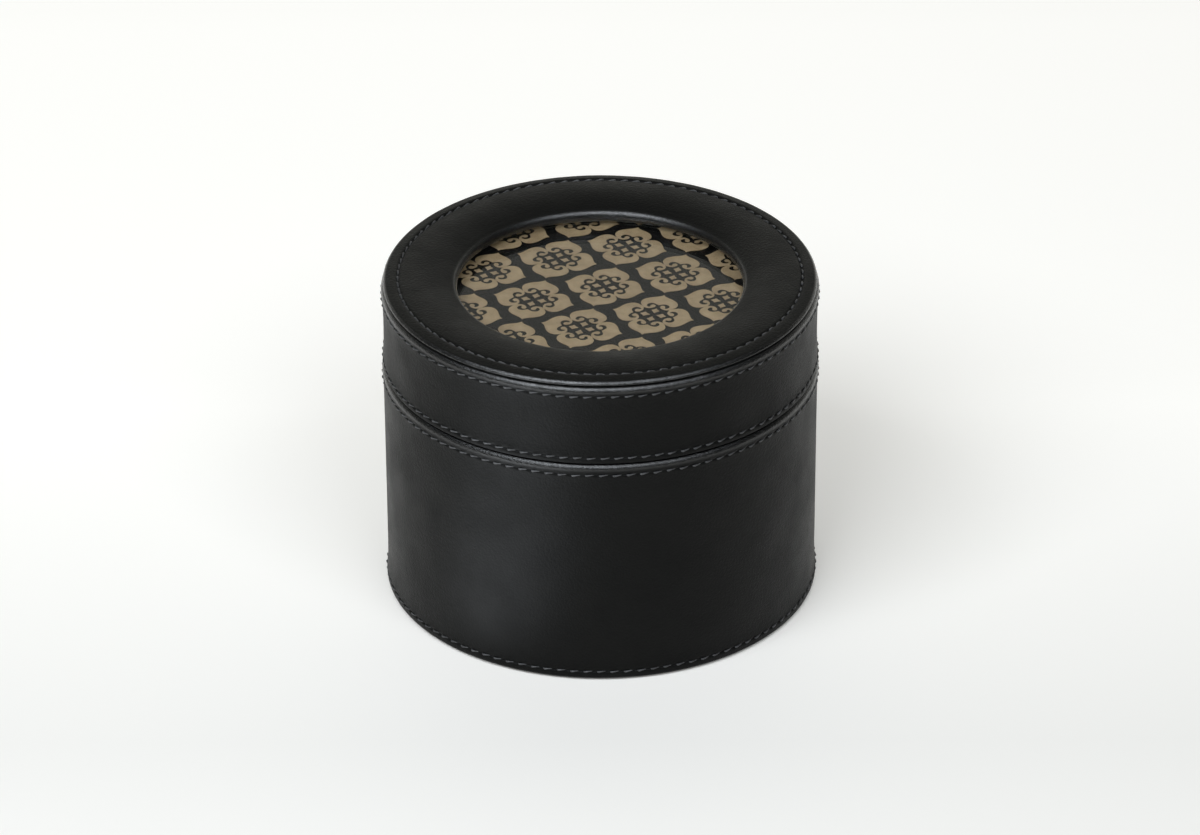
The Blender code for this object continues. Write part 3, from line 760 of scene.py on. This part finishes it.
roll_reach = tray_chord(0.5 * ROLL_SHORTEST, ROLL_END_GAP)
roll_pitch = (roll_reach - ROLL_START + ROLL_GAP) / ROLL_COUNT
for number in range(ROLL_COUNT):
    near = ROLL_START + number * roll_pitch
    roll_half = tray_chord(near + roll_pitch - ROLL_GAP, ROLL_END_GAP)
    roll_w = roll_pitch - ROLL_GAP
    roll = ring_roll(roll_w - 2.0 * ROLL_SLACK, 2.0 * (roll_half - ROLL_SLACK), -(near + 0.5 * roll_w))
    name = "ring_bolster_" + str(number + 1)
    bolster = fit_piece(name, roll, velvet, "tray", ["ring_roll_" + str(number + 1)], 60.0)
    low = (-near - roll_w, -roll_half, TRAY_IN_Z)
    fill_cushion(bolster, ROLL_VOXEL, 1.5 * ROLL_SLACK, low, (-near, roll_half, TRAY_IN_Z + ROLL_H))

# Lift tab: a length of black satin ribbon folded over the middle partition and glued to both its faces.
# It stands up in a pinched loop, so that the tray can be drawn out with two fingers.
TAB_W = 12.0
TAB_T = 0.5
TAB_LEG = 14.0
TAB_RISE = 10.0
TAB_SPREAD = 3.0
TAB_LOOP_R = 1.7
TAB_STEPS = 6


def satin():
    """Black satin ribbon: fine ribs across it and a soft sheen."""
    finish, tree, shader, place, _ = start_finish(
        "black_satin", 0.38, 0.5, 120.0, (0.012, 0.011, 0.011), (0.022, 0.020, 0.020)
    )
    ribs = lay_pattern(tree, place, "ShaderNodeTexWave", Scale=900.0, Distortion=0.4)
    ribs.bands_direction = "Z"
    relief(tree, shader, ribs.outputs["Fac"], 0.03)
    set_sockets(shader, Sheen_Weight=0.15)
    return finish


def lift_ribbon():
    """Bend the ribbon over the partition; returns its shape and its flat length."""
    inner = 0.5 * PARTITION_T + CLEAR + 0.5 * TAB_T
    loop_z = PARTITION_TOP + TAB_RISE - TAB_LOOP_R
    line = [(inner, PARTITION_TOP - TAB_LEG * (1.0 - step / TAB_STEPS)) for step in range(TAB_STEPS + 1)]
    line += [(inner + 0.06 * step, PARTITION_TOP + TAB_SPREAD * step / 2) for step in (1, 2)]
    line += arc(0.0, loop_z, TAB_LOOP_R, 0.0, 90.0, TAB_STEPS)
    line += [(-x, z) for x, z in reversed(line[:-1])]
    length = sum(math.dist(first, second) for first, second in zip(line, line[1:]))
    shape = bmesh.new()
    verts = [shape.verts.new((x * MM, -0.5 * TAB_W * MM, z * MM)) for x, z in line]
    edges = [shape.edges.new(pair) for pair in zip(verts, verts[1:])]
    for _ in range(TAB_STEPS):
        grown = bmesh.ops.extrude_edge_only(shape, edges=edges)["geom"]
        edges = [item for item in grown if isinstance(item, bmesh.types.BMEdge)]
        move(shape, points_of(grown), 0.0, TAB_W / TAB_STEPS, 0.0)
    face_out(shape)
    return shape, length


tab_shape, tab_length = lift_ribbon()
tab = fit_piece("lift_ribbon", tab_shape, satin(), "tray", ["tray_lift_tab"], 60.0)
tab_body = tab.modifiers.new("thickness", "SOLIDIFY")
tab_body.thickness = TAB_T * MM
tab_body.offset = 0.0

# Lid side band: the same black leather over foam on the lid's wall board, with a padded hem along each edge.
# The upper hem carries the padded ring, and the lower one closes on the base with a fine dark gap.
LID_BOTTOM = 90.75
LID_TOP = 121.9
LID_SEAMS = (2.4, 3.6)
LID_HEMS = (79.78, 79.85)
LID_WAISTS = (79.2, 79.2)
LID_PHASES = (2.1, 0.7)
LID_INNERS = (75.9, 75.9)
LID_ROLLS = (0.9, 2.3)

lid_line = band_line(LID_BOTTOM, LID_TOP, LID_SEAMS, LID_HEMS, LID_WAISTS, LID_INNERS, LID_ROLLS)
lid_seams = lay_band("lid", lid_line, (LID_BOTTOM, LID_TOP), LID_SEAMS, LID_PHASES, wax=1.0, seed=9.0)

# Lid stitching: one turn of the same waxed thread through each hem of the lid's band.
# The slant runs the same way as on the base, because both are sewn from the outside.
sew_hems("lid", lid_seams, LID_HEMS, 21)

# Lid linings: suede-covered card inside the lid's wall, and a lined ceiling round the mirror.
# They are glued in last and hide the edges of the boards and of the turned-in leather.
LID_FILL_R = 75.6
LINING_T = 2.0
LINING_BOTTOM = 100.1
LINING_ROUND = 0.7
CEILING_Z = 107.7
CEILING_TOP = 109.7
CEILING_ROUND = 0.6
MIRROR_R = 62.0
MIRROR_BEVEL = 1.6
MIRROR_BEVEL_H = 0.4

lining_in_r = LID_FILL_R - LINING_T
lining = [(LID_FILL_R, LINING_BOTTOM), (LID_FILL_R, CEILING_Z - CLEAR), (lining_in_r, CEILING_Z - CLEAR)]
lining += arc(lining_in_r + LINING_ROUND, LINING_BOTTOM + LINING_ROUND, LINING_ROUND, 180.0, 270.0, 5)
cover_in_suede("lid_wall_suede", turn(lining), "lid", "lid_wall_lining")
ceiling_in_r = MIRROR_R + CLEAR
ceiling = [(LID_FILL_R, CEILING_TOP), (LID_FILL_R, CEILING_Z)]
ceiling += arc(ceiling_in_r + CEILING_ROUND, CEILING_Z + CEILING_ROUND, CEILING_ROUND, 270.0, 180.0, 5)
ceiling.append((ceiling_in_r, CEILING_TOP))
cover_in_suede("lid_ceiling_suede", turn(ceiling), "lid", "lid_ceiling_lining")

# Mirror: a round of silvered glass glued up into the lid, seen when the lid is turned over.
# Its lower face has a narrow ground bevel round the rim, and the silver is very slightly uneven.
silvered, _, silver_shader, _, _ = start_finish(
    "silvered_glass", 0.03, 0.5, 25.0, (0.80, 0.82, 0.82), (0.86, 0.87, 0.87)
)
set_sockets(silver_shader, Metallic=1.0)
mirror = [(0.0, CEILING_TOP), (MIRROR_R, CEILING_TOP), (MIRROR_R, CEILING_Z + MIRROR_BEVEL_H)]
mirror += [(MIRROR_R - MIRROR_BEVEL, CEILING_Z), (0.0, CEILING_Z)]
fit_piece("mirror_glass", turn(mirror), silvered, "lid", ["lid_mirror"], 8.0)

# Ornament panel: a dark matt card under the glass, inlaid with four-petalled medallions on a slanted lattice.
# The petals are thin tan leaves whose inner lobes curl up like scrolls round four small lozenges.
PANEL_TOP = 113.7
LEAF_T = 0.2
PANEL_CLIP_R = 58.2
RIM_CUTS = 64
MEDALLION_R = 15.0
LATTICE_TURN = -15.1
MEDALLION_TURN = -16.0
LATTICE_STEP = (22.47, 16.08)
LATTICE_MIDDLE = (1.69, 7.56)
PETAL_OUTSIDE = (
    *((0.0, 15.15), (0.45, 14.5), (1.0, 14.0), (2.0, 13.4), (3.2, 12.85), (4.3, 12.28), (5.3, 11.55)),
    *((6.15, 10.65), (6.68, 9.65), (6.85, 8.6), (6.68, 7.6), (6.25, 6.7), (5.6, 5.75), (5.0, 5.12)),
)
PETAL_LOBE = (
    *((4.35, 4.75), (3.5, 4.55), (2.65, 4.62), (1.9, 5.0), (1.25, 5.6), (0.9, 6.25)),
    *((0.98, 6.9), (1.4, 7.3), (1.95, 7.38), (2.5, 7.08), (2.78, 6.5), (2.68, 5.9)),
)
SCROLL_EDGE = (
    *((2.8, 5.5), (3.2, 5.33), (3.75, 5.6), (4.15, 6.2), (4.28, 6.95), (4.05, 7.7)),
    *((3.5, 8.3), (2.8, 8.6), (2.1, 8.62), (1.4, 8.38), (0.7, 8.0), (0.0, 7.55)),
)
LOZENGE_HALF = ((0.0, 4.8), (0.55, 4.0), (1.45, 3.25), (0.62, 2.3), (0.0, 1.3))


def cut_leaf(shape, half):
    """Add one flat leaf from the right half of its outline, in millimetres from the medallion's middle."""
    outline = list(half) + [(-x, y) for x, y in reversed(half[1:-1])]
    shape.faces.new([shape.verts.new((x * MM, y * MM, 0.0)) for x, y in outline])


def medallion_places(reach):
    """Middles of the medallions on the slanting lattice that touch a circle of that reach."""
    turned = Matrix.Rotation(math.radians(LATTICE_TURN), 2)
    steps = [(column, row) for column in range(-6, 7) for row in range(-8, 9) if (column + row) % 2 == 0]
    offsets = [turned @ Vector((column * LATTICE_STEP[0], row * LATTICE_STEP[1])) for column, row in steps]
    middles = [offset + Vector(LATTICE_MIDDLE) for offset in offsets]
    return [middle for middle in middles if middle.length < reach]


def lay_out(shape, reach):
    """Copy a medallion's shape to every place of the lattice."""
    first = whole(shape)
    places = medallion_places(reach)
    swing(shape, math.radians(MEDALLION_TURN))
    for middle in places[1:]:
        copied = bmesh.ops.duplicate(shape, geom=first)["geom"]
        move(shape, points_of(copied), *middle, 0.0)
    move(shape, points_of(first), *places[0], 0.0)


def trim_round(shape):
    """Cut a flat layer off at the panel's rim."""
    for step in range(RIM_CUTS):
        angle = FULL_TURN * step / RIM_CUTS
        outward = Vector((math.cos(angle), math.sin(angle), 0.0))
        bmesh.ops.bisect_plane(
            shape,
            geom=whole(shape),
            dist=0.0001 * MM,
            plane_co=outward * PANEL_CLIP_R * MM,
            plane_no=outward,
            clear_outer=True,
        )


def leaf_layer():
    """Cut the petals and the small lozenges of every medallion, and give them their thickness."""
    shape = bmesh.new()
    cut_leaf(shape, PETAL_OUTSIDE + PETAL_LOBE + SCROLL_EDGE)
    cut_leaf(shape, LOZENGE_HALF)
    repeat_round(shape, 0.25 * FULL_TURN, 4)
    lay_out(shape, PANEL_CLIP_R + MEDALLION_R)
    trim_round(shape)
    move(shape, shape.verts[:], 0.0, 0.0, PANEL_TOP)
    grown = bmesh.ops.extrude_face_region(shape, geom=shape.faces[:])["geom"]
    move(shape, points_of(grown), 0.0, 0.0, LEAF_T)
    face_out(shape)
    return shape


def matt_card(name, roughness, specular, patches, dark, light):
    """Matt coloured card: tone that clouds a little, and a faint tooth."""
    finish, tree, shader, place, _ = start_finish(name, roughness, specular, patches, dark, light, 4.0)
    relief(tree, shader, lay_pattern(tree, place, Scale=2400.0, Detail=3.0).outputs["Fac"], 0.03)
    return finish


ground = matt_card("dark_ground_card", 0.85, 0.05, 160.0, (0.0008, 0.0008, 0.0007), (0.0022, 0.0020, 0.0017))
tan_leaf = matt_card("tan_leaf", 0.65, 0.15, 260.0, (0.160, 0.113, 0.061), (0.198, 0.144, 0.082))
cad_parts["ornament_panel"].data.materials[0] = ground
fit_piece("panel_petals", leaf_layer(), tan_leaf, "lid", (), 40.0)

# Lid glass: a round of clear float glass that lies on the panel's spacer and is held down by the padded ring.
# It is clean, with the faint green tone of plain glass, and lets the light through to the ornament.
GLASS_TONE = (0.975, 0.99, 0.985, 1.0)
glass, glass_tree, pane = bare_finish(
    "clear_float_glass", Base_Color=GLASS_TONE, Roughness=0.0, IOR=1.5, Transmission_Weight=1.0
)
clear = glass_tree.nodes.new("ShaderNodeBsdfTransparent")
rays = glass_tree.nodes.new("ShaderNodeLightPath")
pick = glass_tree.nodes.new("ShaderNodeMixShader")
glass_tree.links.new(rays.outputs["Is Shadow Ray"], pick.inputs["Fac"])
glass_tree.links.new(pane.outputs["BSDF"], pick.inputs[1])
glass_tree.links.new(clear.outputs["BSDF"], pick.inputs[2])
glass_tree.links.new(pick.outputs["Shader"], glass_tree.nodes["Material Output"].inputs["Surface"])
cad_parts["lid_glass"].data.materials[0] = glass

# Ring foam: a turned ring of soft foam on the ring board, which gives the leather above it its full crown.
# It is cut to slope from the rolled inner edge out to the sewn channel.
CHANNEL_R = 73.65
CHANNEL_Z = 124.0
ROLL_C_R = 54.6
ROLL_C_Z = 120.0
ROLL_R = 2.5
CROWN_C_R = 67.0
CROWN_R = 35.5
CROWN_END_R = 72.9
RING_LEATHER_T = 1.2
FOAM_Z = 118.2
CROWN_C_Z = ROLL_C_Z - math.sqrt((CROWN_R - ROLL_R) ** 2 - (CROWN_C_R - ROLL_C_R) ** 2)


def crown_line(count, roll_count, last_angle, inset=0.0):
    """Outer line of the padded ring from the sewn channel over the crown and round the inner roll."""
    start = 90.0 - math.degrees(math.asin((CROWN_END_R - CROWN_C_R) / CROWN_R))
    joint = 90.0 + math.degrees(math.asin((CROWN_C_R - ROLL_C_R) / (CROWN_R - ROLL_R)))
    line = arc(CROWN_C_R, CROWN_C_Z, CROWN_R - inset, start, joint, count)
    return line + arc(ROLL_C_R, ROLL_C_Z, ROLL_R - inset, joint, last_angle, roll_count)[1:]


def foam():
    """Open-celled upholstery foam: cream, with small round cells."""
    finish, tree, shader, place, _ = start_finish(
        "cream_foam", 0.95, 0.2, 80.0, (0.42, 0.40, 0.33), (0.52, 0.50, 0.43)
    )
    cells = lay_pattern(tree, place, "ShaderNodeTexVoronoi", Scale=1400.0)
    relief(tree, shader, cells.outputs["Distance"], 0.3)
    return finish


foam_top = [point for point in crown_line(24, 6, 180.0, RING_LEATHER_T + CLEAR) if point[0] > ROLL_C_R]
foam_line = [(ROLL_C_R, FOAM_Z)] + list(reversed(foam_top)) + [(foam_top[0][0], FOAM_Z)]
foam_ring = fit_piece("ring_foam", turn(foam_line), foam(), "lid", ["ring_foam_pad"])

# Padded ring: one round of black leather drawn over the foam, rolled down to the glass on the inside.
# On the outside it is sewn to a second layer along a channel, and both edges together rest on the lid's band.
MARGIN_ROLL = (77.2, 122.1, 2.0)
MARGIN_UNDER_Z = 122.25
CHANNEL_INNER = ((-0.4, 0.22), (-0.2, 0.07), (0.0, 0.0), (0.2, 0.08), (0.42, 0.28))
CHANNEL_OUTER = ((0.75, 0.46), (1.4, 0.48), (2.3, 0.34))
GLASS_EDGE_R = 57.8
GLASS_TOP = 116.0
RIM_WAX = (77.9, 78.6)
ROLL_WAX = (53.8, 52.9)
RING_PHASE = 0.3
RING_WAVES = ((0.06, (45.0, 45.0, 0.0), 7.0), (0.04, (150.0, 150.0, 0.0), 2.0))
RING_HOLE_HALF_W = 0.6
RING_HOLE_DEPTH = 0.14


def ring_line():
    """Closed half section of the ring's leather, from the glass over the padding out to the margin's edge."""
    line = [(GLASS_EDGE_R, GLASS_TOP + 0.35), (GLASS_EDGE_R - 1.2, GLASS_TOP + 0.6)]
    line += [(GLASS_EDGE_R - 2.1, GLASS_TOP + 1.1)] + list(reversed(crown_line(40, 22, 290.0)))
    line += [(CHANNEL_R + out, CHANNEL_Z + up) for out, up in CHANNEL_INNER + CHANNEL_OUTER]
    line += arc(*MARGIN_ROLL, 80.0, 20.0, 9)
    edge_r, edge_z = line[-1]
    line += [(edge_r + 0.01, edge_z - 0.12), (edge_r - 0.1, edge_z - 0.26)]
    line += [(edge_r - 0.35, MARGIN_UNDER_Z + 0.02), (CHANNEL_R + 1.2, MARGIN_UNDER_Z)]
    line.append((CHANNEL_R + 0.2, MARGIN_UNDER_Z + 0.1))
    line += crown_line(20, 10, 270.0, RING_LEATHER_T)
    return line + [(GLASS_EDGE_R - 1.6, GLASS_TOP + 2.0), (GLASS_EDGE_R + 0.1, GLASS_TOP + 1.3)]


def work_ring(shape):
    """Burnish the ring's rim and inner roll, and let the leather above waver and dip at the needle holes."""
    burnish = shape.verts.layers.float.new("burnish")
    for vert in shape.verts:
        radius, angle = polar(vert.co)
        radius /= MM
        vert[burnish] = ease(radius, *RIM_WAX) + ease(radius, *ROLL_WAX)
        if vert.co.z / MM < CHANNEL_Z - 0.6 and radius > ROLL_C_R + 1.0:
            continue
        lift = sum(height * wave(vert.co, scale, seed) for height, scale, seed in RING_WAVES)
        near = bell(radius - CHANNEL_R, RING_HOLE_HALF_W)
        vert.co.z += (lift - RING_HOLE_DEPTH * near * hole_share(angle, RING_PHASE, 2)) * MM


ring_shape = turn(ring_line(), LEATHER_ROUNDS)
work_ring(ring_shape)
ring_cover = fit_piece("ring_leather", ring_shape, leather, "lid", ["ring_cover"], 70.0)

# Ring stitching: one turn of waxed thread that sews the two layers of the ring's leather together.
# The stitches lie in the channel at the foot of the padding and slant inwards to the right.
sew("ring_stitches", CHANNEL_R, CHANNEL_Z, True, RING_PHASE, "lid", 31)

# Studio: a floor of pale paper, two soft lamps in front and a pale sky behind that leaves the front dark.
# A low light panel lies on the floor to the left, and its reflection draws the tall sheen on the box's side.
FLOOR_HALF = 3.0
PAPER_TONE = (0.79, 0.765, 0.72, 1.0)
GLOW_TONE = (1.0, 0.995, 0.96, 1.0)
GLOW_STEPS = ((-0.12, 0.12, 0.08, 0.35), (0.15, 0.45, 0.0, 0.12))
LOW_SKY = ((0.0, 0.5), (0.34, 1.0), (0.44, 0.21))
HIGH_SKY = ((0.56, 0.21), (0.66, 0.95), (0.8, 0.8), (0.9, 0.5), (1.0, 0.2))
SKY_NARROWING = 6.0
LAMP_COLOUR = (0.89, 0.94, 1.0)
LAMP_DISTANCE = 1.6
BOX_MIDDLE = Vector((0.0, 0.0, 0.08))
PANEL_SIZE = (0.17, 0.38)
PANEL_POWER = 0.40
PANEL_PLACE = Vector((-0.175, -0.222, 0.002))
PANEL_TURN = -38.0


def one_axis(tree, vector, axis):
    """One coordinate of a vector."""
    split = tree.nodes.new("ShaderNodeSeparateXYZ")
    tree.links.new(vector, split.inputs["Vector"])
    return split.outputs[axis]


def pale_paper():
    """Matt pale paper that glows where it is seen or mirrored; the glow rises in steps behind the box."""
    finish, tree, shader = bare_finish("pale_paper", Roughness=0.9, Specular_IOR_Level=0.0)
    set_sockets(shader, Base_Color=PAPER_TONE, Emission_Color=GLOW_TONE)
    paths = tree.nodes.new("ShaderNodeLightPath")
    seen = paths.outputs["Is Camera Ray"]
    for ray in ("Is Glossy Ray", "Is Transmission Ray"):
        seen = calculate(tree, "MAXIMUM", seen, paths.outputs[ray])
    behind_box = one_axis(tree, tree.nodes.new("ShaderNodeTexCoord").outputs["Object"], "Y")
    first, second = [map_range(tree, behind_box, *step) for step in GLOW_STEPS]
    glow = calculate(tree, "MULTIPLY", seen, calculate(tree, "ADD", first, second))
    tree.links.new(glow, shader.inputs["Emission Strength"])
    return finish


floor_shape = bmesh.new()
bmesh.ops.create_grid(floor_shape, x_segments=1, y_segments=1, size=FLOOR_HALF)
place_shape("studio_floor", floor_shape, pale_paper())

world = bpy.data.worlds.new("studio")
bpy.context.scene.world = world
world.use_nodes = True
sky = world.node_tree
backdrop = sky.nodes["Background"]
backdrop.inputs["Color"].default_value = (1.0, 1.0, 0.93, 1.0)
toward = sky.nodes.new("ShaderNodeTexCoord").outputs["Generated"]
fade = sky.nodes.new("ShaderNodeFloatCurve")
knots = fade.mapping.curves[0].points
for number, (height, level) in enumerate(LOW_SKY + HIGH_SKY):
    knot = knots[0] if number == 0 else knots[-1] if height == 1.0 else knots.new(height, level)
    knot.location = (height, level)
fade.mapping.extend = "HORIZONTAL"
fade.mapping.use_clip = False
fade.mapping.update()
sky.links.new(one_axis(sky, toward, "Z"), fade.inputs["Value"])
around = sky.nodes.new("ShaderNodeVectorMath")
around.operation = "MULTIPLY"
around.inputs[1].default_value = (1.0, 1.0, 0.0)
sky.links.new(toward, around.inputs[0])
level_way = sky.nodes.new("ShaderNodeVectorMath")
level_way.operation = "NORMALIZE"
sky.links.new(around.outputs["Vector"], level_way.inputs[0])
behind = map_range(sky, one_axis(sky, level_way.outputs["Vector"], "Y"), -1.0, 1.0, 0.0, 1.0)
narrowed = calculate(sky, "POWER", behind, SKY_NARROWING)
strength = calculate(sky, "MULTIPLY", narrowed, fade.outputs["Value"])
sky.links.new(strength, backdrop.inputs["Strength"])


def hang_lamp(name, shape, size, power, place, facing):
    """Hang a soft lamp that the camera doesn't see."""
    data = bpy.data.lights.new(name, "AREA")
    data.shape = shape
    data.size, data.size_y = size
    data.energy = power
    data.color = LAMP_COLOUR
    lamp = place_object(name, data)
    lamp.location = place
    lamp.rotation_mode = "QUATERNION"
    lamp.rotation_quaternion = facing
    lamp.visible_camera = False


def softbox(name, size, power, azimuth, elevation):
    """Hang a softbox at an azimuth from the camera's side, aimed at the box."""
    side = math.radians(azimuth)
    up = math.radians(elevation)
    away = Vector((math.sin(side) * math.cos(up), -math.cos(side) * math.cos(up), math.sin(up)))
    facing = (-away).to_track_quat("-Z", "Y")
    hang_lamp(name, "RECTANGLE", size, power, BOX_MIDDLE + away * LAMP_DISTANCE, facing)


softbox("left_softbox", (1.1, 0.9), 24.0, -32.0, 48.0)
softbox("right_softbox", (0.8, 0.8), 11.0, 26.0, 48.0)
face_up = Matrix.Rotation(math.radians(PANEL_TURN), 4, "Z") @ Matrix.Rotation(math.pi, 4, "X")
hang_lamp("floor_panel", "ELLIPSE", PANEL_SIZE, PANEL_POWER, PANEL_PLACE, face_up.to_quaternion())

# Camera: a long lens from a little above, as the box was photographed.
# Its roll takes up the small tilt of the picture.
CAMERA_LENS = 187.66
CAMERA_RISE = 29.96
CAMERA_DISTANCE = 2.3056
CAMERA_AIM = Vector((-0.00025, 0.0, 0.06416))
CAMERA_ROLL = -0.27
camera_data = bpy.data.cameras.new("camera")
camera_data.lens = CAMERA_LENS
camera_data.sensor_width = 36.0
camera_data.clip_start = 0.05
camera_data.clip_end = 50.0
camera = place_object("camera", camera_data)
rise = math.radians(CAMERA_RISE)
camera.location = CAMERA_AIM + Vector((0.0, -math.cos(rise), math.sin(rise))) * CAMERA_DISTANCE
tilt = Matrix.Rotation(math.radians(90.0) - rise, 4, "X") @ Matrix.Rotation(math.radians(CAMERA_ROLL), 4, "Z")
camera.rotation_mode = "QUATERNION"
camera.rotation_quaternion = tilt.to_quaternion()
bpy.context.scene.camera = camera
bpy.context.scene.view_settings.view_transform = "Standard"
